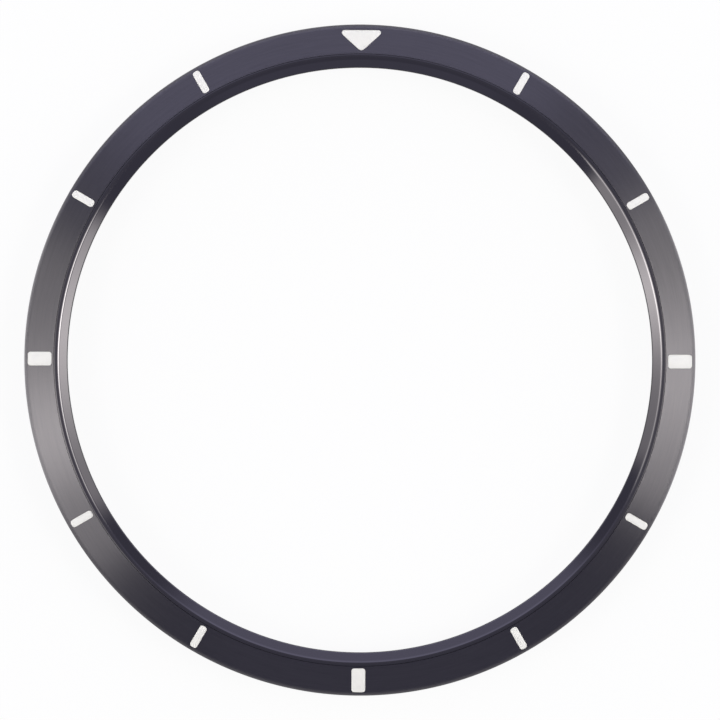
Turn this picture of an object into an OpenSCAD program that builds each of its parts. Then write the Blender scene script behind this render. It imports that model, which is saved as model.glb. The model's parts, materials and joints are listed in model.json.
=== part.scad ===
// Rotating bezel of a wrist watch, with the ring that carries it on the case.
// Origin: centre of the seat ring's flat underside. +Z is the turning axis, towards
// the wearer's eye, and +Y points to the triangle at twelve o'clock.

/* [Polished carrier] */
// Diameter of the clear opening over the glass
opening_d = 34.84; // [28:0.02:42]
// Width of the polished lip, from the opening to the face ring
lip_w = 0.80; // [0.72:0.01:0.95]
// Width of the polished chamfer on the lip
chamfer_w = 0.45; // [0.35:0.01:0.52]
// Slope of the polished chamfer, in degrees
chamfer_a = 32; // [25:1:40]
// Radius of the polished crown on top of the lip
crown_r = 0.40; // [0.3:0.01:0.5]
// Height of the crown above the face ring's inner edge
crown_h = 0.05; // [0.03:0.01:0.1]
// Thickness of the carrier's floor, under the face ring
floor_t = 0.80; // [0.65:0.01:1.2]
// Chamfer along the skirt's lower outer edge
skirt_break = 0.10; // [0.05:0.01:0.15]
// Number of flutes around the skirt
flute_n = 120; // [60:1:140]
// Radius of the cutter that makes a flute
flute_r = 0.30; // [0.25:0.01:0.36]
// Depth of a flute
flute_h = 0.18; // [0.1:0.01:0.22]
// Width of the lever notch in the skirt's lower edge
notch_w = 3.0; // [1.5:0.1:5]
// Height of the lever notch
notch_h = 0.30; // [0.15:0.01:0.4]
// Depth of the lever notch
notch_t = 0.34; // [0.2:0.01:0.4]

/* [Satin face ring] */
// Width of the face ring, from its inner edge to the bezel's outside
face_w = 1.76; // [1.5:0.01:2.4]
// Thickness of the face ring at its inner edge
face_t = 0.66; // [0.55:0.01:1]
// Slope of the face, down to the outside, in degrees
face_a = 8; // [5:0.5:9]
// Radius of the rounded outer edge
rim_r = 0.30; // [0.2:0.01:0.36]
// Thickness of the rim that wraps round the carrier
rim_t = 0.18; // [0.14:0.01:0.24]
// How far the rim hangs below the face ring's underside
rim_drop = 0.29; // [0.15:0.01:0.4]
// Gap between the face ring and the carrier, all round
seam = 0.02; // [0.01:0.005:0.03]
// Thickness of the adhesive film under the face ring
adhesive_t = 0.04; // [0.02:0.01:0.06]
// Margin that the adhesive film keeps from each edge of its pocket
adhesive_inset = 0.10; // [0.05:0.01:0.2]

/* [Markers] */
// Margin between the bars and sticks and the face ring's inner edge
mark_in = 0.12; // [0.1:0.01:0.3]
// Margin between the bars and sticks and the face ring's outside
mark_out = 0.21; // [0.16:0.01:0.4]
// Width of a stick
stick_w = 0.46; // [0.3:0.01:0.6]
// Width of a bar
bar_w = 0.83; // [0.6:0.01:1.2]
// Corner radius of the bars and sticks
mark_r = 0.17; // [0.08:0.01:0.25]
// Width of the triangle's outer side, its corners rounded
tri_w = 2.34; // [1.6:0.01:2.8]
// Corner radius at the ends of the triangle's outer side
tri_r = 0.16; // [0.08:0.01:0.2]
// Corner radius of the triangle's tip
tri_tip_r = 0.28; // [0.1:0.01:0.3]
// Margin between the triangle's tip and the face ring's inner edge
tri_in = 0.22; // [0.12:0.01:0.4]
// Margin between the triangle's outer side and the face ring's outside
tri_out = 0.34; // [0.3:0.01:0.5]
// Thickness of the face ring left under the markers
marker_floor = 0.24; // [0.15:0.01:0.28]
// How far the markers lie below the face
marker_sink = 0.015; // [0.01:0.005:0.03]
// Gap between a marker and the wall of its recess
marker_gap = 0.01; // [0.005:0.005:0.02]

/* [Seat ring] */
// How far the polished lip reaches in over the neck of the case
neck_in = 0.43; // [0.3:0.01:0.5]
// Width of the hub, from the neck's bore to the bezel's skirt
hub_w = 1.30; // [1.15:0.01:1.4]
// Height of the hub above the flange
hub_h = 1.05; // [0.9:0.01:1.6]
// Thickness of the flange
flange_t = 0.30; // [0.25:0.01:0.6]
// Running gap between hub and skirt, as a radius
run_gap = 0.05; // [0.03:0.005:0.08]
// Running gap between the hub's top and the bezel's underside
lift_gap = 0.05; // [0.03:0.005:0.08]
// Distance of the ball and screw circle from the neck's bore
circle_in = 0.60; // [0.5:0.01:0.68]
// Number of screw holes in the underside
screw_n = 4; // [2:1:8]
// Diameter of a screw hole
screw_d = 0.62; // [0.4:0.01:0.72]
// Depth of a screw hole
screw_h = 1.00; // [0.5:0.01:1.15]

/* [Case gasket] */
// Width of the groove in the underside
gasket_groove_w = 0.36; // [0.25:0.01:0.42]
// Depth of the groove, and thickness of the gasket in it
gasket_t = 0.15; // [0.08:0.01:0.2]
// Margin between the groove and the flange's edge
gasket_edge = 0.22; // [0.1:0.01:0.28]
// Gap at each side of the gasket
gasket_gap = 0.02; // [0.01:0.005:0.03]

/* [Slip washer] */
// Thickness of the washer that the skirt runs on
washer_t = 0.15; // [0.08:0.01:0.25]
// Gap above the washer
washer_gap = 0.02; // [0.01:0.005:0.04]
// Gap between the hub and the washer
washer_in = 0.07; // [0.05:0.01:0.09]
// Width of the washer
washer_w = 0.38; // [0.25:0.01:0.45]
// Margin of the flange round the washer
washer_out = 0.10; // [0.04:0.01:0.15]

/* [Retaining wire] */
// Thickness of the wire
wire_d = 0.32; // [0.2:0.01:0.38]
// Height of the wire above the flange's top
wire_h = 0.60; // [0.45:0.01:0.75]
// Gap between the wire and the floor of each groove
wire_gap = 0.03; // [0.02:0.005:0.04]
// Gap above and below the wire in its grooves
wire_play = 0.02; // [0.01:0.005:0.04]
// Opening between the ends of the wire, in degrees
wire_open = 14; // [6:1:40]

/* [Click works] */
// Number of clicks in a turn
click_n = 60; // [24:12:120]
// Thickness of the click ring
click_t = 0.32; // [0.25:0.01:0.45]
// Width of the click ring
click_w = 0.80; // [0.68:0.01:0.95]
// Gap between the click ring and its groove
click_gap = 0.02; // [0.01:0.005:0.03]
// Number of lugs that keep the click ring from turning
lug_n = 3; // [1:1:12]
// Width of a lug
lug_w = 0.80; // [0.4:0.01:1.6]
// How far a lug stands out of the click ring
lug_h = 0.16; // [0.08:0.01:0.22]
// Diameter of a detent ball
ball_d = 0.60; // [0.5:0.01:0.68]
// Gap round a ball in its bore
ball_gap = 0.03; // [0.02:0.005:0.04]
// How far a ball at rest stands up into the click ring
ball_rise = 0.14; // [0.08:0.01:0.17]
// Gap between a ball and the dimple that it rests in
dimple_gap = 0.03; // [0.02:0.005:0.04]
// Slope of a dimple's wall from the upright, in degrees
dimple_a = 50; // [45:1:55]
// Thickness left under a ball's bore
bore_floor = 0.20; // [0.12:0.01:0.26]
// Thickness of the spring wire
spring_d = 0.09; // [0.06:0.01:0.11]
// Diameter of the spring, through the middle of its wire
spring_w = 0.38; // [0.3:0.01:0.44]
// Number of turns in a spring
spring_n = 5; // [3:0.5:6]
// Gap at each end of a spring
spring_gap = 0.01; // [0.005:0.005:0.02]

/* [Hidden] */
$fn = 96;
BALLS = 3;
HOURS = 12;
SLIVER = 0.5;
SPRING_STEPS = 16;
SPRING_SIDES = 6;

// Radii, from the opening outwards
open_r = opening_d / 2;
lip_r = open_r + lip_w;
face_in_r = lip_r + seam;
face_r = face_in_r + face_w;
carrier_r = face_r - rim_t - seam;
neck_r = open_r + neck_in;
circle_r = neck_r + circle_in;
hub_r = neck_r + hub_w;
skirt_in_r = hub_r + run_gap;
wire_r = (hub_r + skirt_in_r) / 2;
groove_r = wire_d / 2 + wire_gap;
washer_r = hub_r + washer_in + washer_w;
flange_r = washer_r + washer_out;
gasket_r = flange_r - gasket_edge;
stick_l = face_w - mark_in - mark_out;
marker_r = face_in_r + mark_in + stick_l / 2;
// A narrow stick has smaller corners than a bar, with a short flat left between them
stick_r = min(mark_r, (stick_w - marker_gap) / 2);
tri_l = face_w - tri_in - tri_out;

// Heights, from the underside upwards
washer_z = flange_t + washer_t;
skirt_z = washer_z + washer_gap;
hub_z = flange_t + hub_h;
under_z = hub_z + lift_gap;
pocket_z = under_z + floor_t;
face_z = pocket_z + adhesive_t;
face_in_z = face_z + face_t;
crest_z = face_in_z + crown_h;
rim_z = face_z - rim_drop;
wire_z = flange_t + wire_h;
marker_z = face_z + marker_floor;
ball_z = under_z + ball_rise - ball_d / 2;

// Clear reach of a dimple from the middle of the ball that rests in it
dimple_reach = ball_d / 2 + dimple_gap;

// The crown's circle touches the chamfer, whose lower end is at the opening
crown_x = open_r + chamfer_w + crown_r * sin(chamfer_a);
crown_z = crest_z - crown_r;
chamfer_top = [crown_x - crown_r * sin(chamfer_a), crown_z + crown_r * cos(chamfer_a)];
chamfer_z = chamfer_top[1] - chamfer_w * tan(chamfer_a);

// The rim's circle touches the sloping face and the outer wall
rim_x = face_r - rim_r;
rim_top = rim_x + rim_r * sin(face_a);
rim_c = face_height(rim_top) - rim_r * cos(face_a);

// Angle from +X of an hour, counted clockwise from twelve
function hour_angle(k) = 90 - k * 360 / HOURS;

// Angle from +X of a ball's bore
function ball_angle(k) = 90 + (k - 1) * 360 / BALLS;

// Height of the sloping face at radius r
function face_height(r) = face_in_z - (r - face_in_r) * tan(face_a);

// A ring with a square section
module band(r_in, r_out, z0, z1) {
    rotate_extrude()
        translate([r_in, z0])
            square([r_out - r_in, z1 - z0]);
}

// A rectangle with round corners, centred on the origin
module round_rect(l, w, r) {
    square([l - 2 * r, w], center = true);
    square([l, w - 2 * r], center = true);
    for (x = [-1, 1], y = [-1, 1])
        translate([x * (l / 2 - r), y * (w / 2 - r)])
            circle(r);
}

// The triangle, tip towards the centre, with a margin m added all round.
// Its rounded tip lies at -l from the outer side, which is at x = 0.
module round_triangle(l, w, r, tip_r, m) {
    // Middles of the three corner circles
    base_x = -r;
    base_y = w / 2 - r;
    tip_x = -l + tip_r;
    // Direction square to the slanting side, which touches the circles of r and tip_r
    side = [base_x - tip_x, base_y];
    along = (tip_r - r) / norm(side);
    across = sqrt(1 - along * along);
    n = [side[0] * along - side[1] * across, side[1] * along + side[0] * across] / norm(side);
    q = r + m;
    q_tip = tip_r + m;
    polygon([
        [base_x + q, -base_y],
        [base_x + q, base_y],
        [base_x + n[0] * q, base_y + n[1] * q],
        [tip_x + n[0] * q_tip, n[1] * q_tip],
        [tip_x + n[0] * q_tip, -n[1] * q_tip],
        [base_x + n[0] * q, -base_y - n[1] * q]
    ]);
    polygon([[base_x, -base_y], [base_x, base_y], [tip_x, 0]]);
    translate([base_x, base_y]) circle(q);
    translate([base_x, -base_y]) circle(q);
    translate([tip_x, 0]) circle(q_tip);
}

// Outline of the marker of one hour, with a margin m added all round
module marker_plan(k, m) {
    rotate(hour_angle(k)) {
        if (k == HOURS)
            translate([face_r - tri_out, 0])
                round_triangle(tri_l, tri_w, tri_r, tri_tip_r, m);
        else if (k % 3 == 0)
            translate([marker_r, 0])
                round_rect(stick_l + 2 * m, bar_w + 2 * m, mark_r + m);
        else
            translate([marker_r, 0])
                round_rect(stick_l + 2 * m, stick_w + 2 * m, stick_r + m);
    }
}

// Section of the face ring, drawn in the plane of radius and height
module face_section(sink = 0) {
    translate([0, -sink]) {
        polygon([
            [face_in_r, face_z], [carrier_r + seam, face_z], [carrier_r + seam, rim_z],
            [face_r, rim_z], [face_r, rim_c], [rim_top, face_height(rim_top)],
            [face_in_r, face_in_z]
        ]);
        intersection() {
            translate([rim_x, rim_c]) circle(rim_r);
            translate([rim_x, rim_c]) square(rim_r);
        }
    }
}

// Section of the carrier: lip with chamfer and crown, floor, and skirt
module carrier_section() {
    polygon([
        [open_r, under_z], [skirt_in_r, under_z], [skirt_in_r, skirt_z],
        [carrier_r - skirt_break, skirt_z], [carrier_r, skirt_z + skirt_break],
        [carrier_r, pocket_z], [lip_r, pocket_z], [lip_r, crown_z],
        [crown_x, crown_z], chamfer_top, [open_r, chamfer_z]
    ]);
    intersection() {
        translate([crown_x, crown_z]) circle(crown_r);
        translate([crown_x - crown_r, crown_z - crown_r])
            square([lip_r - crown_x + crown_r, 2 * crown_r]);
    }
}

// A blind hole of the seat ring that opens upwards, from height z0
module hole_up(d, z0) {
    translate([circle_r, 0, z0])
        cylinder(d = d, h = hub_z - z0 + SLIVER);
}

// Radius of a dimple's wall at height h above the middle of the ball in it
function dimple_r(h) = (dimple_reach / sin(dimple_a) - h) * tan(dimple_a);

// A dimple with a sloping wall and a flat top, from SLIVER below the click ring
module dimple() {
    mouth = under_z - SLIVER - ball_z;
    translate([circle_r, 0, ball_z + mouth])
        cylinder(r1 = dimple_r(mouth), r2 = dimple_r(dimple_reach), h = dimple_reach - mouth);
}

// Outline of the click ring with its lugs, with a gap g added at every side
module click_plan(g) {
    difference() {
        union() {
            circle(circle_r + click_w / 2 + g);
            for (k = [0 : lug_n - 1])
                rotate(90 + (k + 0.5) * 360 / lug_n)
                    translate([circle_r, -lug_w / 2 - g])
                        square([click_w / 2 + lug_h + g, lug_w + 2 * g]);
        }
        circle(circle_r - click_w / 2 - g);
    }
}

// Polished carrier: lip, floor under the face ring, fluted skirt
module bezel_ring() {
    color([0.16, 0.16, 0.19])
    difference() {
        rotate_extrude() carrier_section();
        translate([0, 0, under_z - SLIVER])
            linear_extrude(click_t + SLIVER)
                click_plan(click_gap);
        band(wire_r, wire_r + groove_r, wire_z - wire_d / 2 - wire_play,
             wire_z + wire_d / 2 + wire_play);
        for (k = [0 : flute_n - 1])
            rotate(k * 360 / flute_n)
                translate([carrier_r - flute_h + flute_r, 0, skirt_z - SLIVER])
                    cylinder(r = flute_r, h = rim_z - skirt_z + SLIVER);
        rotate(-90)
            translate([carrier_r - notch_t, -notch_w / 2, skirt_z - SLIVER])
                cube([notch_t + SLIVER, notch_w, notch_h + SLIVER]);
    }
}

// Satin face ring with a recess for each marker
module face_ring() {
    color([0.29, 0.29, 0.33])
    difference() {
        rotate_extrude() face_section();
        for (k = [1 : HOURS])
            translate([0, 0, marker_z])
                linear_extrude(crest_z)
                    marker_plan(k, marker_gap);
    }
}

// Film that holds the face ring in its pocket
module face_adhesive() {
    color([0.55, 0.50, 0.38])
    band(face_in_r + adhesive_inset, carrier_r - adhesive_inset, pocket_z, face_z);
}

// Ring of dimples that the balls click into
module click_ring() {
    color([0.62, 0.60, 0.55])
    difference() {
        translate([0, 0, under_z])
            linear_extrude(click_t)
                click_plan(0);
        for (k = [0 : click_n - 1])
            rotate(90 + k * 360 / click_n)
                dimple();
    }
}

// One white marker, its top just below the face
module marker(k) {
    color([0.95, 0.95, 0.94])
    intersection() {
        translate([0, 0, marker_z])
            linear_extrude(crest_z)
                marker_plan(k, 0);
        rotate_extrude() face_section(marker_sink);
    }
}

// Fixed ring on the case: flange, hub, ball bores, screw holes and grooves
module seat_ring() {
    color([0.45, 0.45, 0.47])
    difference() {
        union() {
            band(neck_r, flange_r, 0, flange_t);
            band(neck_r, hub_r, 0, hub_z);
        }
        band(wire_r - groove_r, wire_r, wire_z - wire_d / 2 - wire_play,
             wire_z + wire_d / 2 + wire_play);
        band(gasket_r - gasket_groove_w, gasket_r, -SLIVER, gasket_t);
        for (k = [1 : BALLS])
            rotate(ball_angle(k)) hole_up(ball_d + 2 * ball_gap, bore_floor);
        for (k = [0 : screw_n - 1])
            rotate((k + 0.5) * 360 / screw_n)
                translate([circle_r, 0, -SLIVER])
                    cylinder(d = screw_d, h = screw_h + SLIVER);
    }
}

// Rubber ring in the seat ring's underside
module case_gasket() {
    color([0.10, 0.10, 0.10])
    band(gasket_r - gasket_groove_w + gasket_gap, gasket_r - gasket_gap, 0, gasket_t);
}

// Low-friction washer between flange and skirt
module slip_washer() {
    color([0.88, 0.88, 0.84])
    band(hub_r + washer_in, washer_r, flange_t, washer_z);
}

// Open ring of round wire, half in the hub's groove and half in the skirt's,
// with its opening at six o'clock
module retaining_wire() {
    color([0.75, 0.75, 0.76])
    rotate(-90 + wire_open / 2)
        rotate_extrude(angle = 360 - wire_open)
            translate([wire_r, wire_z])
                circle(d = wire_d);
}

// One ball of the click works, at rest in a dimple
module detent_ball(k) {
    color([0.82, 0.82, 0.84])
    rotate(ball_angle(k))
        translate([circle_r, 0, ball_z])
            sphere(d = ball_d);
}

// The spring's ends: on the floor of its bore, and against the ball's underside
spring_z0 = bore_floor + spring_gap + spring_d / 2;
spring_reach = (ball_d + spring_d) / 2 + spring_gap;
spring_z1 = ball_z - sqrt(spring_reach * spring_reach - spring_w * spring_w / 4);
spring_rings = floor(spring_n * SPRING_STEPS);

// Point j of ring i of the spring's round wire
function spring_point(i, j) =
    let (a = i * 360 / SPRING_STEPS,
         b = j * 360 / SPRING_SIDES,
         r = (spring_w + spring_d * cos(b)) / 2,
         z = spring_z0 + (spring_z1 - spring_z0) * i / spring_rings)
    [r * cos(a), r * sin(a), z + sin(b) * spring_d / 2];

// One coil spring, standing in its bore under a ball
module detent_spring(k) {
    n = spring_rings;
    m = SPRING_SIDES;
    points = [for (i = [0 : n], j = [0 : m - 1]) spring_point(i, j)];
    sides = [for (i = [0 : n - 1], j = [0 : m - 1])
        [i * m + j, i * m + (j + 1) % m, (i + 1) * m + (j + 1) % m, (i + 1) * m + j]];
    first = [for (j = [m - 1 : -1 : 0]) j];
    last = [for (j = [0 : m - 1]) n * m + j];
    color([0.70, 0.70, 0.72])
    rotate(ball_angle(k))
        translate([circle_r, 0, 0])
            polyhedron(points, concat(sides, [first, last]));
}

bezel_ring();
face_ring();
face_adhesive();
click_ring();
marker(12);  // triangle_marker_12
marker(1);  // stick_marker_1
marker(2);  // stick_marker_2
marker(3);  // bar_marker_3
marker(4);  // stick_marker_4
marker(5);  // stick_marker_5
marker(6);  // bar_marker_6
marker(7);  // stick_marker_7
marker(8);  // stick_marker_8
marker(9);  // bar_marker_9
marker(10);  // stick_marker_10
marker(11);  // stick_marker_11
seat_ring();
case_gasket();
slip_washer();
retaining_wire();
detent_ball(1);  // detent_ball_1
detent_ball(2);  // detent_ball_2
detent_ball(3);  // detent_ball_3
detent_spring(1);  // detent_spring_1
detent_spring(2);  // detent_spring_2
detent_spring(3);  // detent_spring_3
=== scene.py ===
"""A rotating watch bezel, seen from straight above on a pale floor.

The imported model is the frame. The rings, the marks and the springs are made again here as
fine meshes of the same sizes, and every piece gets its finish from shader nodes. Sizes are in
millimetres, and become metres when a mesh is made.
"""
import json
import math

import bpy
import numpy as np
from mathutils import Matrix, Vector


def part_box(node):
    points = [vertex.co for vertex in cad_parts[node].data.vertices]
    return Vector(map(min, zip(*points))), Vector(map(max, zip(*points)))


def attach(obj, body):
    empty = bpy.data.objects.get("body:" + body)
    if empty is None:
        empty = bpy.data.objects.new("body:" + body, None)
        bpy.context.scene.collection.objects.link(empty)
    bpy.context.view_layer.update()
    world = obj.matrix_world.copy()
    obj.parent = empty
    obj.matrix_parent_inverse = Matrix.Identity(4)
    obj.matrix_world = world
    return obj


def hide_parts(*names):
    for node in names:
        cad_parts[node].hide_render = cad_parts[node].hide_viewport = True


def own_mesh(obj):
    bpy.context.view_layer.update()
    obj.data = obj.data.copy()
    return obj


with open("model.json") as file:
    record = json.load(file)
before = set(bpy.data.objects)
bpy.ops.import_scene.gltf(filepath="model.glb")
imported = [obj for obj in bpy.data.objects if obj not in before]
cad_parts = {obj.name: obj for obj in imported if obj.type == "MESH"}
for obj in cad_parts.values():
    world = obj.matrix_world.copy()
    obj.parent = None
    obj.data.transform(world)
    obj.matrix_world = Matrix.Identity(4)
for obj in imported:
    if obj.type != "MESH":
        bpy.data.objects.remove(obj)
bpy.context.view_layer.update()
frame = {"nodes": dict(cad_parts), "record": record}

MM = 0.001
STEPS = 1440            # steps round a fine ring
SMALL_STEPS = 480       # steps round a ring that hardly shows
HOLE_STEPS = 40         # steps round a hole
CORNER_STEPS = 10       # steps round a mark's corner
CREASE = 28             # edges sharper than this many degrees stay sharp

# Carrier: the polished lip, the floor under the face ring and the fluted skirt
OPEN_R = 17.42
LIP_R = 18.22
CARRIER_R = 19.80
UNDER_Z = 1.40
POCKET_Z = 2.20
CHAMFER_A = 32.0        # slope of the polished chamfer, in degrees
CROWN = (18.082, 2.55)  # centre of the crown's circle: radius and height
CROWN_R = 0.40
LAND_R = 0.80           # the gentler round from the crown's top to the lip's outer edge
CHAMFER_Z = 2.608
OPENING_ROUND = 0.10    # rounding between the chamfer and the bore
CLICK_GROOVE = (18.03, 18.87, 1.72)     # inner radius, outer radius and roof
LUGS = 3
LUG_WIDTH = 0.84
LUG_R = 19.03
SKIRT_IN_R = 19.20
SKIRT_Z = 0.47
SKIRT_BREAK = 0.10
NOTCH_A = 270           # the lever notch is at six o'clock
NOTCH_WIDTH = 3.0
NOTCH_R = 19.46
NOTCH_Z = 0.77
FLUTES = 120
FLUTE_DEPTH = 0.18
FLUTE_CUTTER = 0.30     # radius of the cutter that makes the flutes
FLUTE_END = 0.002       # from the last fluted point to the first plain one, each way

# Groove of the retaining wire, half in the skirt and half in the hub
WIRE_Z = 0.90
WIRE_HALF = 0.18
WIRE_SKIRT_R = 19.365
WIRE_HUB_R = 18.985

# Satin face ring
FACE_IN_R = 18.24
FACE_R = 20.00
FACE_Z = 2.24
FACE_IN_Z = 2.90
FACE_A = 8.0            # slope of the face, down to the outside, in degrees
LINE_LEAN = 0.31        # the brushed lines' flanks lean outwards by this much more
LEAN_START = 0.03       # where that lean sets in, outside the face's inner edge
LEAN_SOFT = 0.12        # how gently it sets in
RIM_IN_R = 19.82
RIM_Z = 1.95
RIM_ROUND = 0.30

# Hour marks
HOURS = 12
MARK_Z = 2.48
MARK_SINK = 0.015
MARK_GAP = 0.01
MARK_R = 19.075
MARK_LENGTH = 1.43
STICK_WIDTH = 0.46
BAR_WIDTH = 0.83
MARK_CORNER = 0.17
TRIANGLE_OUT = 19.66
TRIANGLE_LENGTH = 1.20
TRIANGLE_WIDTH = 2.34
TRIANGLE_CORNER = 0.16
TRIANGLE_TIP = 0.28     # rounding of the triangle's tip
MARK_EDGE = 0.015       # rounding of a mark's upper edge

# Seat ring, gasket and washer
NECK_R = 17.85
HUB_R = 19.15
HUB_Z = 1.35
FLANGE_R = 19.70
FLANGE_Z = 0.30
SEAT_EDGE = 0.03        # how much the seat's edges are broken
GASKET_GROOVE = (19.12, 19.48, 0.15)    # inner radius, outer radius and roof
GASKET = (19.14, 19.46, 0.15)           # inner radius, outer radius and top
GASKET_EDGE = 0.04
WASHER = (19.22, 19.60, 0.45)           # inner radius, outer radius and top
WASHER_EDGE = 0.02
CIRCLE_R = 18.45
SCREWS = 4
SCREW_HOLE_R = 0.31
SCREW_HOLE_Z = 1.00
BALLS = 3
BALL_BORE_R = 0.33
BALL_BORE_Z = 0.20
SPRING_TURNS = 5
SPRING_WIDTH = 0.38     # through the middle of its wire
SPRING_WIRE = 0.09

# Edges are broken by this much where a tool would leave them sharp
EDGE = 0.02

# Light: tints of the softboxes and of the room, and the room's own level, where 1 is white
SOFTBOX_TINT = (1.0, 0.985, 0.93)
ROOM_TINT = (0.96, 0.955, 1.29)
ROOM_LEVEL = 0.238

# Floor
FLOOR_HALF = 3000.0     # half its width
FLOOR_Z = -0.02
FLOOR_GREY = 0.80
FLOOR_SHOWN = 0.92      # how much of it is plain white to the camera
FLOOR_MIRRORED = 0.62   # and in reflections
FLOOR_ASIDE = 2.4       # how much brighter reflections of it are beside the ring

# Camera: place, turn in degrees, and lens
CAMERA_PLACE = (0.0083, 0.0048, 702.6)
CAMERA_TURN = 0.27
LENS = 587.5
SENSOR = 36.0


# Node trees

class Value:
    """An output of a node. Sums and products of it add Math nodes."""

    def __init__(self, tree, socket):
        self.tree = tree
        self.socket = socket

    def pick(self, name):
        """Another output of the same node."""
        return Value(self.tree, self.socket.node.outputs[name])

    def math(self, operation, *others):
        values = dict(enumerate((self,) + others))
        return self.tree.node("ShaderNodeMath", {"operation": operation}, values)

    def __add__(self, other):
        return self.math("ADD", other)

    def __mul__(self, other):
        return self.math("MULTIPLY", other)

    def __sub__(self, other):
        return self.math("SUBTRACT", other)

    def __truediv__(self, other):
        return self.math("DIVIDE", other)

    def __rsub__(self, other):
        return self * -1.0 + other

    __radd__ = __add__
    __rmul__ = __mul__


class Tree:
    """A shader or geometry tree that nodes are added to."""

    def __init__(self, tree):
        self.tree = tree
        tree.nodes.clear()

    def node(self, kind, settings=None, values=None, out=0):
        """Add a node: first its settings, then the numbers or links of its inputs."""
        made = self.tree.nodes.new(kind)
        for name, setting in (settings or {}).items():
            setattr(made, name, setting)
        for name, value in (values or {}).items():
            if isinstance(value, Value):
                self.tree.links.new(value.socket, made.inputs[name])
            else:
                made.inputs[name].default_value = value
        return Value(self, made.outputs[out]) if made.outputs else made

    def split(self, vector):
        """The x, y and z of a vector."""
        x = self.node("ShaderNodeSeparateXYZ", values={0: vector})
        return x, x.pick("Y"), x.pick("Z")

    def join(self, x, y, z):
        return self.node("ShaderNodeCombineXYZ", values={0: x, 1: y, 2: z})

    def noise(self, vector, scale, detail=2.0, rough=0.5):
        """Noise from 0 to 1, and 0.5 on average."""
        return self.node("ShaderNodeTexNoise", values={
            "Vector": vector, "Scale": scale, "Detail": detail, "Roughness": rough})

    def rise(self, value, start, end):
        """A smooth step from 0 to 1 between start and end."""
        return self.node("ShaderNodeMapRange", {"interpolation_type": "SMOOTHSTEP"}, {
            "Value": value, "From Min": start, "From Max": end})

    def blend(self, factor, first, second):
        """A colour between two colours."""
        return self.node("ShaderNodeMix", {"data_type": "RGBA"},
                         {0: factor, 6: first, 7: second}, out=2)


def axis_distance(x, y):
    """How far a point is from the axis."""
    return (x * x + y * y).math("SQRT")


def geometry_tree(name, inputs):
    """A geometry tree with named inputs: the tree, and each input by name."""
    group = bpy.data.node_groups.new(name, "GeometryNodeTree")
    tree = Tree(group)
    group.interface.new_socket("Geometry", in_out="OUTPUT", socket_type="NodeSocketGeometry")
    for label, kind in [("Geometry", "Geometry")] + inputs + [("Material", "Material")]:
        group.interface.new_socket(label, in_out="INPUT", socket_type="NodeSocket" + kind)
    start = tree.node("NodeGroupInput")
    return tree, start.pick


def end_geometry(tree, geometry, material):
    """Make real what was repeated, and give it its material."""
    real = tree.node("GeometryNodeRealizeInstances", values={"Geometry": geometry})
    done = tree.node("GeometryNodeSetMaterial", values={"Geometry": real, "Material": material})
    tree.node("NodeGroupOutput", values={"Geometry": done})


def run_tree(piece, tree, sizes):
    """Put a piece through a geometry tree and keep the mesh that it makes."""
    modifier = piece.modifiers.new(tree.tree.name, "NODES")
    modifier.node_group = tree.tree
    for item in tree.tree.interface.items_tree:
        if item.in_out == "INPUT" and item.name in sizes:
            modifier[item.identifier] = sizes[item.name]
    keep_result(piece)


def keep_result(piece):
    """Take the mesh that a piece's modifiers make, and drop the modifiers."""
    graph = bpy.context.evaluated_depsgraph_get()
    made = bpy.data.meshes.new_from_object(piece.evaluated_get(graph), depsgraph=graph)
    piece.modifiers.clear()
    made.name = piece.name
    piece.data = made


# Meshes

def add_piece(name, points, faces, crease=CREASE):
    """An object from points in millimetres, smooth but for creases past an angle."""
    mesh = bpy.data.meshes.new(name)
    mesh.from_pydata((np.asarray(points) * MM).tolist(), [], faces)
    piece = bpy.data.objects.new(name, mesh)
    bpy.context.scene.collection.objects.link(piece)
    smooth(piece, crease)
    return piece


def smooth(piece, crease=CREASE):
    piece.data.shade_smooth()
    piece.data.set_sharp_from_angle(angle=math.radians(crease))


def arc(centre, radius, start, end, steps):
    """Points on a circle in the plane of radius and height, angles in degrees."""
    turn = np.radians(np.linspace(start, end, steps + 1))
    return [(centre[0] + radius * math.cos(a), centre[1] + radius * math.sin(a)) for a in turn]


def broken(outline, size=EDGE):
    """An outline of (radius, height) points with each corner marked True cut off."""
    corners = [(p + (False,))[:3] for p in outline]
    done = []
    for i, (x, z, sharp) in enumerate(corners):
        if not sharp:
            done.append((x, z))
            continue
        for other in (corners[i - 1], corners[(i + 1) % len(corners)]):
            dx, dz = other[0] - x, other[1] - z
            share = size / math.hypot(dx, dz)
            done.append((x + dx * share, z + dz * share))
    return done


def turned_ring(name, outline, angles, radius_at=None, crease=CREASE):
    """Turn an outline, counter-clockwise as (radius, height), about +Z into a closed ring."""
    outline = np.array(outline, float)
    n, m = len(angles), len(outline)
    radius = np.repeat(outline[None, :, 0], n, 0)
    height = np.repeat(outline[None, :, 1], n, 0)
    if radius_at is not None:
        radius = radius_at(angles[:, None], radius, height)
    points = np.stack([radius * np.cos(angles)[:, None],
                       radius * np.sin(angles)[:, None], height], -1)
    i, j = np.arange(n)[:, None], np.arange(m)[None, :]
    ahead, up = (i + 1) % n, (j + 1) % m
    faces = np.stack([i * m + j, ahead * m + j, ahead * m + up, i * m + up], -1)
    return add_piece(name, points.reshape(-1, 3), faces.reshape(-1, 4).tolist(), crease)


def even_turn(steps):
    return np.arange(steps) * (2 * math.pi / steps)


def with_edges(angles, centre, half):
    """Angles with a close pair at each side of centre, so that a wall stands upright."""
    close = 0.0002      # radians
    extra = [centre + side * half + shift for side in (-1, 1) for shift in (-close, close)]
    return np.unique(np.concatenate([angles, np.mod(extra, 2 * math.pi)]))


def apart(angle, centre):
    """How far an angle is from centre, from -pi to pi."""
    return np.mod(angle - centre + math.pi, 2 * math.pi) - math.pi


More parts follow.
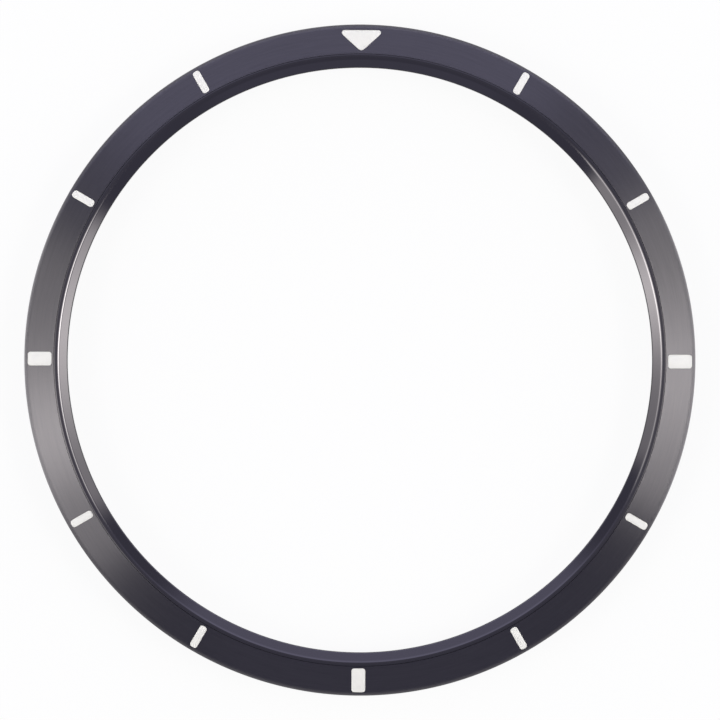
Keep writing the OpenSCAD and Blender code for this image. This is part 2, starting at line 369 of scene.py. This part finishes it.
def mark_outline(kind, margin):
    """Outline of a mark that points along +X, counter-clockwise, grown by margin."""
    if kind == "triangle":
        r, y = TRIANGLE_CORNER, TRIANGLE_WIDTH / 2 - TRIANGLE_CORNER
        x, tip = TRIANGLE_OUT - r, TRIANGLE_OUT - TRIANGLE_LENGTH + TRIANGLE_TIP
        # The slanting side touches the circles of both its corners
        side = math.degrees(math.atan2(y, x - tip) + math.acos(
            (TRIANGLE_TIP - r) / math.hypot(x - tip, y)))
        corners = [(x, -y, r, -side, 0), (x, y, r, 0, side),
                   (tip, 0, TRIANGLE_TIP, side, 360 - side)]
    else:
        width = STICK_WIDTH if kind == "stick" else BAR_WIDTH
        x, y = MARK_LENGTH / 2 - MARK_CORNER, width / 2 - MARK_CORNER
        corners = [(MARK_R + sx * x, sy * y, MARK_CORNER, a, a + 90)
                   for sx, sy, a in [(1, -1, -90), (1, 1, 0), (-1, 1, 90), (-1, -1, 180)]]
    points = []
    for cx, cy, r, start, end in corners:
        points += arc((cx, cy), r + margin, start, end, CORNER_STEPS)
    return np.array(points)


def face_height(radius):
    return FACE_IN_Z - (radius - FACE_IN_R) * math.tan(math.radians(FACE_A))


def stacked(name, rings, turn):
    """A closed solid from rings of points, the lowest first, turned about the axis."""
    cos, sin = math.cos(turn), math.sin(turn)
    points = [(x * cos - y * sin, x * sin + y * cos, z) for ring in rings for x, y, z in ring]
    m, last = len(rings[0]), len(rings) - 1
    faces = [(k * m + j, k * m + (j + 1) % m, (k + 1) * m + (j + 1) % m, (k + 1) * m + j)
             for k in range(last) for j in range(m)]
    faces.append(tuple(reversed(range(m))))
    faces.append(tuple(range(last * m, last * m + m)))
    return add_piece(name, points, faces)


def raised(outline, height):
    """Points of an outline at one height, or at the height that a function gives."""
    return [(x, y, height(math.hypot(x, y)) if callable(height) else height) for x, y in outline]


def hour_turn(hour):
    """Angle of an hour from +X."""
    return math.radians(90 - hour * 360 / HOURS)


def cut(piece, tools):
    """Cut the tools out of a piece, and throw the tools away."""
    for tool in tools:
        modifier = piece.modifiers.new(tool.name, "BOOLEAN")
        modifier.operation = "DIFFERENCE"
        modifier.solver = "EXACT"
        modifier.object = tool
    keep_result(piece)
    smooth(piece)
    for tool in tools:
        bpy.data.objects.remove(tool)


# Finishes

def finish(name):
    """A new material's tree, and its place on the object in millimetres."""
    material = bpy.data.materials.new(name)
    material.use_nodes = True
    tree = Tree(material.node_tree)
    place = tree.node("ShaderNodeVectorMath", {"operation": "SCALE"}, {
        0: tree.node("ShaderNodeTexCoord", out="Object"), "Scale": 1 / MM})
    return material, tree, place


def end_finish(tree, values, normal):
    """Close a finish with its main shader."""
    shader = tree.node("ShaderNodeBsdfPrincipled", values={**values, "Normal": normal})
    tree.node("ShaderNodeOutputMaterial", values={"Surface": shader})


def bump(tree, height, depth):
    """A normal from a height that stands for depth millimetres where it is 1."""
    return tree.node("ShaderNodeBump", values={"Height": height, "Distance": depth * MM})


def lines_round(tree, place, across, along, detail=3.0, rough=0.5):
    """Fine lines that run round the axis: so many per millimetre, and per turn."""
    x, y, z = tree.split(place)
    radius = axis_distance(x, y)
    # A share of the height keeps the lines apart on an upright wall
    spread = tree.join((radius + z * 0.7) * across, x / radius * along, y / radius * along)
    return tree.noise(spread, 1.0, detail, rough)


def flute_edges(tree, place):
    """1 along the edges of the flutes and the foot of the skirt, where fingers rub."""
    x, y, z = tree.split(place)
    share = y.math("ARCTAN2", x) * (FLUTES / (2 * math.pi))
    # Half a flute's width, and how far along the skirt its middle is
    half = math.sqrt(FLUTE_CUTTER ** 2 - (FLUTE_CUTTER - FLUTE_DEPTH) ** 2)
    off = (share - share.math("ROUND")).math("ABSOLUTE") * (2 * math.pi * CARRIER_R / FLUTES)
    worn, untouched = 0.01, 0.05    # millimetres from an edge
    edge = 1.0 - tree.rise((off - half).math("ABSOLUTE"), worn, untouched)
    foot = 1.0 - tree.rise((z - SKIRT_Z - SKIRT_BREAK).math("ABSOLUTE"), worn, untouched)
    skirt = tree.rise(axis_distance(x, y), CARRIER_R - 0.10, CARRIER_R - 0.04)
    below_pocket = 1.0 - tree.rise(z, POCKET_Z - 0.3, POCKET_Z)
    return edge.math("MAXIMUM", foot) * skirt * below_pocket


def polished_black():
    """Black-coated steel with a mirror polish and hairlines from wiping.

    The bore is left as turned and duller, with its colour darkened as painted shade, and the
    flutes' edges are rubbed bright.
    """
    material, tree, place = finish("polished black steel")
    coated, wiped = (0.134, 0.127, 0.135, 1), (0.175, 0.168, 0.176, 1)
    # The near-black at the bore is painted shade; bright is bare steel where the coat is worn
    bore_painted_shade, bright = (0.050, 0.048, 0.051, 1), (0.42, 0.40, 0.40, 1)
    haze = tree.noise(place, scale=0.55, detail=3.0)
    lines = lines_round(tree, place, across=16.0, along=9.0)
    wipes = tree.noise(place, scale=9.0, detail=5.0, rough=0.62)
    worn = tree.rise(wipes, 0.66, 0.80)
    patchy = tree.noise(place, scale=1.6, detail=4.0, rough=0.6) * 0.7 + 0.5
    rubbed = flute_edges(tree, place) * patchy
    radius = axis_distance(*tree.split(place)[:2])
    # The bore mask darkens the colour as painted shade, and adds roughness for the duller turned
    # finish
    bore = 1.0 - tree.rise(radius, OPEN_R + 0.02, OPEN_R + 0.05)
    coat_and_bore_shade = tree.blend(bore, tree.blend(worn * 0.35, coated, wiped), bore_painted_shade)
    end_finish(tree, {
        "Base Color": tree.blend(rubbed, coat_and_bore_shade, bright),
        "Metallic": 1.0,
        "Roughness": (haze * 0.05 + lines * 0.03 + worn * 0.05 + rubbed * 0.15 + 0.055
                      + bore * 0.30),
    }, bump(tree, lines * 0.8 + wipes * 0.2, depth=0.0006))
    return material


def satin_black():
    """Black-coated steel brushed round and round, so that light streaks across the lines."""
    material, tree, place = finish("satin black steel")
    groove, ridge = (0.112, 0.107, 0.114, 1), (0.127, 0.121, 0.129, 1)
    dust_grey = (0.24, 0.23, 0.23, 1)
    fine = lines_round(tree, place, across=26.0, along=12.0, detail=4.0, rough=0.6)
    broad = lines_round(tree, place, across=7.0, along=5.0)
    dust = tree.rise(tree.noise(place, scale=13.0), 0.74, 0.80)
    shade = fine * 0.6 + broad * 0.4
    radius = axis_distance(*tree.split(place)[:2])
    lean = (radius - (FACE_IN_R + LEAN_START)).math("SMOOTH_MAX", 0.0, LEAN_SOFT)
    colour = tree.blend(tree.rise(shade, 0.30, 0.70), groove, ridge)
    end_finish(tree, {
        "Base Color": tree.blend(dust * 0.2, colour, dust_grey),
        "Metallic": 1.0,
        "Roughness": shade * 0.06 + 0.30,
        "Anisotropic": 1.0,
        "Anisotropic Rotation": 0.25,
    }, bump(tree, fine * 0.0016 - lean * LINE_LEAN, depth=1.0))
    return material


def white_inlay():
    """Off-white filling of the marks, a little grainy."""
    material, tree, place = finish("white inlay")
    shaded, clean = (0.760, 0.755, 0.690, 1), (0.800, 0.795, 0.725, 1)
    grain = tree.noise(place, scale=24.0, detail=3.0, rough=0.6)
    cloud = tree.noise(place, scale=2.2)
    end_finish(tree, {
        "Base Color": tree.blend(tree.rise(grain * 0.5 + cloud * 0.5, 0.35, 0.65), shaded, clean),
        "Roughness": grain * 0.15 + 0.38,
    }, bump(tree, grain, depth=0.003))
    return material


def adhesive_film():
    """Pale film of glue with small bubbles."""
    material, tree, place = finish("adhesive film")
    glue, bubble = (0.58, 0.50, 0.34, 1), (0.68, 0.63, 0.50, 1)
    bubbles = tree.rise(tree.noise(place, scale=5.0), 0.60, 0.70)
    end_finish(tree, {
        "Base Color": tree.blend(bubbles, glue, bubble),
        "Roughness": bubbles * 0.2 + 0.5,
    }, bump(tree, bubbles, depth=0.004))
    return material


def click_bronze():
    """Rolled bronze, darker where it has tarnished."""
    material, tree, place = finish("click ring bronze")
    bronze, tarnished = (0.66, 0.47, 0.27, 1), (0.44, 0.28, 0.15, 1)
    tarnish = tree.rise(tree.noise(place, scale=0.9, detail=4.0, rough=0.6), 0.40, 0.68)
    lines = lines_round(tree, place, across=14.0, along=14.0)
    end_finish(tree, {
        "Base Color": tree.blend(tarnish, bronze, tarnished),
        "Metallic": 1.0,
        "Roughness": tarnish * 0.14 + lines * 0.10 + 0.24,
    }, bump(tree, lines, depth=0.003))
    return material


def seat_steel():
    """Turned steel with the lathe's feed lines."""
    material, tree, place = finish("seat steel")
    groove, ridge = (0.36, 0.36, 0.375, 1), (0.50, 0.495, 0.50, 1)
    feed = lines_round(tree, place, across=18.0, along=4.0, rough=0.6)
    patch = tree.noise(place, scale=0.6, detail=3.0)
    end_finish(tree, {
        "Base Color": tree.blend(feed, groove, ridge),
        "Metallic": 1.0,
        "Roughness": feed * 0.14 + patch * 0.12 + 0.20,
    }, bump(tree, feed, depth=0.004))
    return material


def gasket_rubber():
    """Black rubber, matt and slightly dusty."""
    material, tree, place = finish("gasket rubber")
    rubber, dusty = (0.022, 0.022, 0.023, 1), (0.060, 0.058, 0.056, 1)
    grain = tree.noise(place, scale=18.0, detail=4.0, rough=0.6)
    dust = tree.rise(tree.noise(place, scale=2.0, detail=4.0), 0.52, 0.72)
    end_finish(tree, {
        "Base Color": tree.blend(dust * 0.6, rubber, dusty),
        "Roughness": grain * 0.15 + 0.62,
    }, bump(tree, grain, depth=0.006))
    return material


def washer_plastic():
    """Milky white plastic with faint rubbing marks."""
    material, tree, place = finish("washer plastic")
    milky, clear = (0.74, 0.73, 0.68, 1), (0.84, 0.83, 0.79, 1)
    rub = lines_round(tree, place, across=9.0, along=5.0)
    cloud = tree.noise(place, scale=1.1, detail=3.0)
    end_finish(tree, {
        "Base Color": tree.blend(cloud, milky, clear),
        "Roughness": rub * 0.22 + 0.34,
    }, bump(tree, rub, depth=0.003))
    return material


def spring_steel():
    """Bright drawn wire."""
    material, tree, place = finish("spring steel")
    scored, bright = (0.50, 0.50, 0.51, 1), (0.68, 0.67, 0.66, 1)
    drawn = lines_round(tree, place, across=30.0, along=6.0)
    end_finish(tree, {
        "Base Color": tree.blend(drawn, scored, bright),
        "Metallic": 1.0,
        "Roughness": drawn * 0.14 + 0.14,
    }, bump(tree, drawn, depth=0.002))
    return material


def ball_steel():
    """Ground and lapped balls, with a few contact marks."""
    material, tree, place = finish("ball steel")
    lapped, scuffed = (0.74, 0.74, 0.76, 1), (0.58, 0.57, 0.57, 1)
    scuffs = tree.rise(tree.noise(place, scale=20.0, detail=3.0), 0.62, 0.72)
    end_finish(tree, {
        "Base Color": tree.blend(scuffs, lapped, scuffed),
        "Metallic": 1.0,
        "Roughness": scuffs * 0.16 + 0.05,
    }, bump(tree, scuffs, depth=0.001))
    return material


FINISHES = {
    "polished_black_steel": polished_black(),
    "satin_black_steel": satin_black(),
    "white_inlay": white_inlay(),
    "adhesive_film": adhesive_film(),
    "click_ring_bronze": click_bronze(),
    "seat_steel": seat_steel(),
    "gasket_rubber": gasket_rubber(),
    "washer_plastic": washer_plastic(),
    "spring_steel": spring_steel(),
    "ball_steel": ball_steel(),
}


# Pieces

def flute_tree():
    """Upright grooves round a skirt, as a round cutter makes them."""
    tree, given = geometry_tree("flutes", [
        ("Flutes", "Int"), ("Depth", "Float"), ("Cutter radius", "Float"),
        ("Skirt radius", "Float"), ("Top", "Float")])
    x, y, z = tree.split(tree.node("GeometryNodeInputPosition"))
    radius = axis_distance(x, y)
    # Distance along the skirt from the middle of the nearest flute
    share = (y.math("ARCTAN2", x) / (2 * math.pi)) * given("Flutes")
    off = (share - share.math("ROUND")) / given("Flutes") * (2 * math.pi) * given("Skirt radius")
    cutter = given("Cutter radius")
    bow = (cutter * cutter - off * off).math("MAXIMUM", 0.0).math("SQRT")
    wall = given("Skirt radius") - given("Depth") + cutter - bow
    scale = radius.math("MINIMUM", wall) / radius
    outside = radius.math("GREATER_THAN", (SKIRT_IN_R + NOTCH_R) / 2 * MM)
    below = z.math("LESS_THAN", given("Top"))
    moved = tree.node("GeometryNodeSetPosition", values={
        "Geometry": given("Geometry"), "Selection": outside * below,
        "Position": tree.join(x * scale, y * scale, z)})
    end_geometry(tree, moved, given("Material"))
    return tree


def carrier():
    """Polished carrier, with the click ring's groove, the wire's groove and the flutes."""
    inner, outer, roof = CLICK_GROOVE
    slope = math.radians(CHAMFER_A)
    down = (math.cos(slope) * EDGE, math.sin(slope) * EDGE)
    chamfer_top = (CROWN[0] - CROWN_R * math.sin(slope), CROWN[1] + CROWN_R * math.cos(slope))
    land_end = math.degrees(math.acos((LIP_R - CROWN[0]) / LAND_R))
    land = arc((CROWN[0], CROWN[1] + CROWN_R - LAND_R), LAND_R, land_end, 90, steps=8)
    crown = arc(CROWN, CROWN_R, 90, 90 + CHAMFER_A, steps=14)
    # The rounding touches the chamfer above and the bore below
    round_z = CHAMFER_Z + OPENING_ROUND * (math.tan(slope) - 1 / math.cos(slope))
    bore_round = arc((OPEN_R + OPENING_ROUND, round_z), OPENING_ROUND,
                     90 + CHAMFER_A, 180, steps=6)
    outline = broken([
        (OPEN_R, UNDER_Z, True), (inner, UNDER_Z), (inner, roof), (outer, roof),
        (outer, UNDER_Z), (SKIRT_IN_R, UNDER_Z),
        (SKIRT_IN_R, WIRE_Z + WIRE_HALF), (WIRE_SKIRT_R, WIRE_Z + WIRE_HALF),
        (WIRE_SKIRT_R, WIRE_Z - WIRE_HALF), (SKIRT_IN_R, WIRE_Z - WIRE_HALF),
        (SKIRT_IN_R, SKIRT_Z, True), (CARRIER_R - SKIRT_BREAK, SKIRT_Z),
        (CARRIER_R - SKIRT_BREAK / 2, SKIRT_Z + SKIRT_BREAK / 2),
        (CARRIER_R, SKIRT_Z + SKIRT_BREAK),
        (CARRIER_R, NOTCH_Z - FLUTE_END), (CARRIER_R, NOTCH_Z + FLUTE_END),
        (CARRIER_R, RIM_Z - FLUTE_END), (CARRIER_R, RIM_Z),
        (CARRIER_R, POCKET_Z, True), (LIP_R, POCKET_Z),
    ]) + land[:-1] + crown + [
        (chamfer_top[0] - down[0], chamfer_top[1] - down[1]),
        (bore_round[0][0] + down[0], bore_round[0][1] + down[1])] + bore_round

    notch, notch_half = math.radians(NOTCH_A), math.asin(NOTCH_WIDTH / 2 / CARRIER_R)
    lugs = [math.radians(90 + (k + 0.5) * 360 / LUGS) for k in range(LUGS)]
    lug_half = math.asin(LUG_WIDTH / 2 / LUG_R)
    angles = with_edges(even_turn(STEPS), notch, notch_half)
    for lug in lugs:
        angles = with_edges(angles, lug, lug_half)

    same = 0.001        # two radii within this are one wall

    def radius_at(angle, radius, height):
        inside = np.abs(apart(angle, notch)) < notch_half
        low = (radius > NOTCH_R) & (height < NOTCH_Z)
        radius = np.where(inside & low, NOTCH_R / np.cos(apart(angle, notch)), radius)
        for lug in lugs:
            inside = np.abs(apart(angle, lug)) < lug_half
            wall = (np.abs(radius - outer) < same) & (height < POCKET_Z)
            radius = np.where(inside & wall, LUG_R / np.cos(apart(angle, lug)), radius)
        return radius

    piece = turned_ring("carrier", outline, angles, radius_at)
    run_tree(piece, flute_tree(), {
        "Flutes": FLUTES, "Depth": FLUTE_DEPTH * MM, "Cutter radius": FLUTE_CUTTER * MM,
        "Skirt radius": CARRIER_R * MM, "Top": (RIM_Z - FLUTE_END / 2) * MM,
        "Material": FINISHES["polished_black_steel"]})
    smooth(piece)
    return piece


def satin_face():
    """Brushed face ring, with a recess for each mark."""
    slope = math.radians(FACE_A)
    rim_r = FACE_R - RIM_ROUND
    rim_z = face_height(rim_r + RIM_ROUND * math.sin(slope)) - RIM_ROUND * math.cos(slope)
    under = broken([
        (FACE_IN_R, FACE_Z, True), (RIM_IN_R, FACE_Z), (RIM_IN_R, RIM_Z, True),
        (FACE_R, RIM_Z, True), (FACE_R, rim_z)])[:-1]
    top = [(x, face_height(x)) for x in (rim_r, FACE_IN_R + 2 * EDGE, FACE_IN_R + EDGE)]
    inner_edge = [(FACE_IN_R + EDGE / 3, FACE_IN_Z - EDGE / 8), (FACE_IN_R, FACE_IN_Z - EDGE / 2)]
    rim = arc((rim_r, rim_z), RIM_ROUND, 0, 90 - FACE_A, steps=18)
    outline = under + rim + top + inner_edge
    piece = turned_ring("satin_face", outline, even_turn(STEPS))
    above = CROWN[1] + 2 * CROWN_R
    tools = []
    for hour in range(1, HOURS + 1):
        kind = "triangle" if hour == HOURS else "stick" if hour % 3 else "bar"
        recess = mark_outline(kind, MARK_GAP)
        tools.append(stacked("recess %d" % hour, [raised(recess, z) for z in (MARK_Z, above)],
                             hour_turn(hour)))
    cut(piece, tools)
    piece.data.materials.clear()
    piece.data.materials.append(FINISHES["satin_black_steel"])
    return piece


def one_mark(name, kind, turn=0.0):
    """One mark with a softened upper edge, its top just below the face."""
    rings = [raised(mark_outline(kind, 0), MARK_Z)]
    for a in (0, 30, 60, 90):
        inset = MARK_EDGE * (1 - math.cos(math.radians(a)))
        drop = MARK_EDGE * (1 - math.sin(math.radians(a))) + MARK_SINK
        rings.append(raised(mark_outline(kind, -inset), lambda r: face_height(r) - drop))
    return stacked(name, rings, turn)


def marks_tree():
    """One mark repeated round the dial: at each third hour but twelve, or at the others."""
    tree, given = geometry_tree("marks round the dial", [("Hours", "Int"), ("Bars", "Float")])
    points = tree.node("GeometryNodePoints", values={
        "Count": given("Hours"), "Position": (0, 0, 0)})
    hour = tree.node("GeometryNodeInputIndex")
    third = 1.0 - hour.math("MODULO", 3.0).math("MINIMUM", 1.0)
    bars = given("Bars")
    chosen = bars * third * hour.math("MINIMUM", 1.0) + (1.0 - bars) * (1.0 - third)
    turn = math.pi / 2 - hour / given("Hours") * (2 * math.pi)
    placed = tree.node("GeometryNodeInstanceOnPoints", values={
        "Points": points, "Selection": chosen, "Instance": given("Geometry"),
        "Rotation": tree.node("FunctionNodeEulerToRotation", values={
            "Euler": tree.join(0.0, 0.0, turn)})})
    end_geometry(tree, placed, given("Material"))
    return tree


def hour_marks():
    """The sticks, the bars and the triangle."""
    tree, white = marks_tree(), FINISHES["white_inlay"]
    sticks, bars = one_mark("hour_sticks", "stick"), one_mark("hour_bars", "bar")
    run_tree(sticks, tree, {"Hours": HOURS, "Bars": 0.0, "Material": white})
    run_tree(bars, tree, {"Hours": HOURS, "Bars": 1.0, "Material": white})
    triangle = one_mark("hour_triangle", "triangle", hour_turn(HOURS))
    triangle.data.materials.append(white)
    return sticks, bars, triangle


def seat():
    """Fixed ring on the case, with its grooves, screw holes and ball bores."""
    inner, outer, roof = GASKET_GROOVE
    outline = broken([
        (NECK_R, 0, True), (inner, 0), (inner, roof), (outer, roof), (outer, 0),
        (FLANGE_R, 0, True), (FLANGE_R, FLANGE_Z, True), (HUB_R, FLANGE_Z),
        (HUB_R, WIRE_Z - WIRE_HALF), (WIRE_HUB_R, WIRE_Z - WIRE_HALF),
        (WIRE_HUB_R, WIRE_Z + WIRE_HALF), (HUB_R, WIRE_Z + WIRE_HALF),
        (HUB_R, HUB_Z, True), (NECK_R, HUB_Z, True)], SEAT_EDGE)
    piece = turned_ring("seat", outline, even_turn(SMALL_STEPS))
    past = 1.0      # the drills reach this far out of the ring
    spot = (CIRCLE_R, 0)
    circle = np.array(arc(spot, 1.0, 0, 360, HOLE_STEPS))[:-1] - spot

    def drill(name, radius, z0, z1, turn):
        return stacked(name, [raised(circle * radius + spot, z) for z in (z0, z1)], turn)

    tools = [drill("screw hole %d" % k, SCREW_HOLE_R, -past, SCREW_HOLE_Z,
                   math.radians((k + 0.5) * 360 / SCREWS)) for k in range(SCREWS)]
    tools += [drill("ball bore %d" % k, BALL_BORE_R, BALL_BORE_Z, HUB_Z + past,
                    ball_turn(k)) for k in range(BALLS)]
    cut(piece, tools)
    piece.data.materials.clear()
    piece.data.materials.append(FINISHES["seat_steel"])
    return piece


def plain_band(name, size, z0, rounding, material):
    """A ring with a square section and softened edges."""
    inner, outer, z1 = size
    outline = broken([(inner, z0, True), (outer, z0, True), (outer, z1, True),
                      (inner, z1, True)], rounding)
    piece = turned_ring(name, outline, even_turn(SMALL_STEPS), crease=50)
    piece.data.materials.append(material)
    return piece


def ball_turn(k):
    """Angle of a ball and its bore from +X."""
    return math.radians(90 + k * 360 / BALLS)


def spring_tree():
    """A coil of round wire that stands on its foot."""
    tree, given = geometry_tree("coil spring", [
        ("Turns", "Float"), ("Width", "Float"), ("Wire", "Float"), ("Height", "Float"),
        ("Foot", "Vector")])
    path = tree.node("GeometryNodeCurveSpiral", values={
        "Resolution": 32, "Rotations": given("Turns"), "Start Radius": given("Width") * 0.5,
        "End Radius": given("Width") * 0.5, "Height": given("Height")})
    wire = tree.node("GeometryNodeCurvePrimitiveCircle", values={
        "Resolution": 12, "Radius": given("Wire") * 0.5})
    coil = tree.node("GeometryNodeCurveToMesh", values={
        "Curve": path, "Profile Curve": wire, "Fill Caps": True})
    standing = tree.node("GeometryNodeTransform", values={
        "Geometry": coil, "Translation": given("Foot")})
    end_geometry(tree, standing, given("Material"))
    return tree


def ball_spring(k, tree):
    """The spring under ball k, standing on its foot and as tall as the imported spring."""
    node, floor = "detent_spring_%d" % (k + 1), BALL_BORE_Z * MM
    low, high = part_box(node)
    x, y = (CIRCLE_R * MM * f(ball_turn(k)) for f in (math.cos, math.sin))
    piece = add_piece("spring_%d" % (k + 1), [(0, 0, 0)], [])
    run_tree(piece, tree, {
        "Turns": SPRING_TURNS, "Width": SPRING_WIDTH * MM, "Wire": SPRING_WIRE * MM,
        "Height": high[2] - low[2] - SPRING_WIRE * MM,
        "Foot": (x, y, low[2] + SPRING_WIRE / 2 * MM), "Material": FINISHES["spring_steel"]})
    smooth(piece)
    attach(piece, "seat")
    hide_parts(node)
    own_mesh(piece)


def place_pieces():
    """Make the pieces, put each on the body it rides on, and hide the imported nodes it stands in
    for.
    """
    def stand_for(piece, body, finish_name, *nodes):
        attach(piece, body)
        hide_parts(*nodes)

    stand_for(carrier(), "bezel", "polished_black_steel", "bezel_ring")
    stand_for(satin_face(), "bezel", "satin_black_steel", "face_ring")
    sticks, bars, triangle = hour_marks()
    stand_for(sticks, "bezel", "white_inlay",
              *["stick_marker_%d" % k for k in range(1, HOURS) if k % 3])
    stand_for(bars, "bezel", "white_inlay",
              *["bar_marker_%d" % k for k in range(1, HOURS) if k % 3 == 0])
    stand_for(triangle, "bezel", "white_inlay", "triangle_marker_12")
    stand_for(seat(), "seat", "seat_steel", "seat_ring")
    stand_for(plain_band("gasket", GASKET, 0, GASKET_EDGE, FINISHES["gasket_rubber"]),
              "seat", "gasket_rubber", "case_gasket")
    stand_for(plain_band("washer", WASHER, FLANGE_Z, WASHER_EDGE, FINISHES["washer_plastic"]),
              "seat", "washer_plastic", "slip_washer")
    coil = spring_tree()
    for k in range(BALLS):
        ball_spring(k, coil)


def dress_kept_nodes():
    """Give each node the finish of its slot in the record, for the nodes that stay."""
    for row in frame["record"]["subparts"]:
        node = frame["nodes"][row["node"]]
        for slot in node.material_slots:
            slot.material = FINISHES[row["material_slot"]]


# Studio

def studio_light():
    """Two softboxes, left and right, in a dim room with pale panels behind twelve o'clock."""
    world = bpy.data.worlds.new("studio")
    bpy.context.scene.world = world
    world.use_nodes = True
    tree = Tree(world.node_tree)
    x, y, z = tree.split(tree.node("ShaderNodeTexCoord", out="Generated"))
    # Degrees clockwise from twelve o'clock and from six o'clock, and above the horizon
    clock = (x.math("ARCTAN2", y) * (180 / math.pi) + 360.0).math("MODULO", 360.0)
    past_six = (clock + 180.0).math("MODULO", 360.0)
    height = z.math("ARCSINE") * (180 / math.pi)

    def window(value, start, end, soft):
        """1 between start and end, and 0 outside them."""
        return tree.rise(value, start - soft, start + soft) * (
            1.0 - tree.rise(value, end - soft, end + soft))

    # Both softboxes have a bright strip near their upper edge, and a dimmer band below it
    strip = window(height, 49, 61, 3)
    band = window(height, 34, 47, 4)

    # The sides of the left one lean, and it is brightest a little below nine o'clock
    lean = (height - 26.0) * 0.12
    sides = tree.rise(clock + lean, 230, 234) * (1.0 - tree.rise(clock - lean, 286, 293))
    peak = tree.rise(clock, 241, 256) * (1.0 - tree.rise(clock, 255, 275))
    fading = 1.0 - 0.40 * tree.rise(clock, 264, 286)
    left = sides * (1.22 + 2.0 * peak) * fading * window(height, 11, 72, 9) * (
        0.85 + 0.52 * tree.rise(height, 20, 44) - 0.22 * band + 1.50 * strip)

    # The right one is brightest a little below three o'clock, and its foot is higher there
    peak = tree.rise(clock, 66, 96) * (1.0 - 0.75 * tree.rise(clock, 96, 122))
    foot = 6.0 * tree.rise(clock, 88, 102) + 11.0
    dimmer = 0.60 - 0.20 * window(clock, 85, 95, 5) + 0.25 * tree.rise(clock, 97, 106)
    brighter = 1.70 + 0.5 * window(clock, 90, 99, 5)
    right = window(clock, 60, 118, 4) * (1.10 + 2.3 * peak) * window(height, foot, 69, 10) * (
        0.9 + 0.22 * tree.rise(height, 22, 60) - dimmer * band + brighter * strip)

    # A soft glow lies over both of them
    glow = 0.24 * tree.rise(height, 70, 82) * (
        window(clock, 60, 118, 10) + window(clock, 240, 292, 10))

    # The room is a little paler at six o'clock. Behind twelve o'clock stand a low strip, a
    # panel, and a fainter one above it
    south = 0.06 * window(clock, 150, 208, 6) * (1.0 - tree.rise(height, 28, 42))
    low = 1.9 * window(past_six, 118, 240, 12) * window(height, 4, 18, 4)
    panel = (0.31 + 0.10 * tree.rise(height, 30, 45)) * (
        window(past_six, 132, 217, 7) * window(height, 6, 70, 6))
    above = 0.15 * window(past_six, 118, 236, 12) * window(height, 52, 77, 8)
    room = ROOM_LEVEL + south + panel + above + low

    light = tree.node("ShaderNodeVectorMath", {"operation": "ADD"}, {
        0: tree.node("ShaderNodeVectorMath", {"operation": "SCALE"},
                     {0: SOFTBOX_TINT, "Scale": left + right + glow}),
        1: tree.node("ShaderNodeVectorMath", {"operation": "SCALE"},
                     {0: ROOM_TINT, "Scale": room})})
    seen = tree.node("ShaderNodeLightPath", out="Is Camera Ray")
    shown = tree.blend(seen, light, (1, 1, 1, 1))
    background = tree.node("ShaderNodeBackground", values={"Color": shown, "Strength": 1.0})
    tree.node("ShaderNodeOutputWorld", values={"Surface": background})


def pale_floor():
    """A white floor that keeps the object's shadow, and isn't seen from below."""
    material = bpy.data.materials.new("pale floor")
    material.use_nodes = True
    tree = Tree(material.node_tree)
    camera = tree.node("ShaderNodeLightPath", out="Is Camera Ray")
    mirrored = camera.pick("Is Glossy Ray") + camera.pick("Is Transmission Ray")
    bright = (camera * FLOOR_SHOWN + mirrored * FLOOR_MIRRORED).math("MINIMUM", 1.0)
    matt = tree.node("ShaderNodeBsdfDiffuse", values={
        "Color": (FLOOR_GREY, FLOOR_GREY, FLOOR_GREY, 1)})
    # Beside the ring it is brighter in reflections, and as white as elsewhere to the camera
    x, y = tree.split(tree.node("ShaderNodeTexCoord", out="Object"))[:2]
    radius = axis_distance(x, y)
    beside = tree.rise(x.math("ABSOLUTE") / radius, 0.84, 0.95)
    aside = tree.rise(radius, 18.5 * MM, 21.5 * MM) * beside
    level = aside * (1.0 - camera) * FLOOR_ASIDE + 1.0
    glow = tree.node("ShaderNodeEmission", values={
        "Color": tree.join(level, level, level), "Strength": 1.0})
    lit = tree.node("ShaderNodeMixShader", values={0: bright, 1: matt, 2: glow})
    clear = tree.node("ShaderNodeBsdfTransparent")
    back = tree.node("ShaderNodeNewGeometry", out="Backfacing")
    surface = tree.node("ShaderNodeMixShader", values={0: back, 1: lit, 2: clear})
    tree.node("ShaderNodeOutputMaterial", values={"Surface": surface})
    corners = [(x * FLOOR_HALF, y * FLOOR_HALF, FLOOR_Z)
               for x, y in ((-1, -1), (1, -1), (1, 1), (-1, 1))]
    floor = add_piece("floor", corners, [(0, 1, 2, 3)])
    floor.data.materials.append(material)


def camera_above():
    """A long lens straight above, turned a little, as in the photograph."""
    data = bpy.data.cameras.new("camera")
    data.lens = LENS
    data.sensor_width = SENSOR
    camera = bpy.data.objects.new("camera", data)
    bpy.context.scene.collection.objects.link(camera)
    camera.location = [place * MM for place in CAMERA_PLACE]
    camera.rotation_euler = (0, 0, math.radians(CAMERA_TURN))
    bpy.context.scene.camera = camera


dress_kept_nodes()
place_pieces()
studio_light()
pale_floor()
camera_above()
bpy.context.scene.view_settings.view_transform = "Standard"
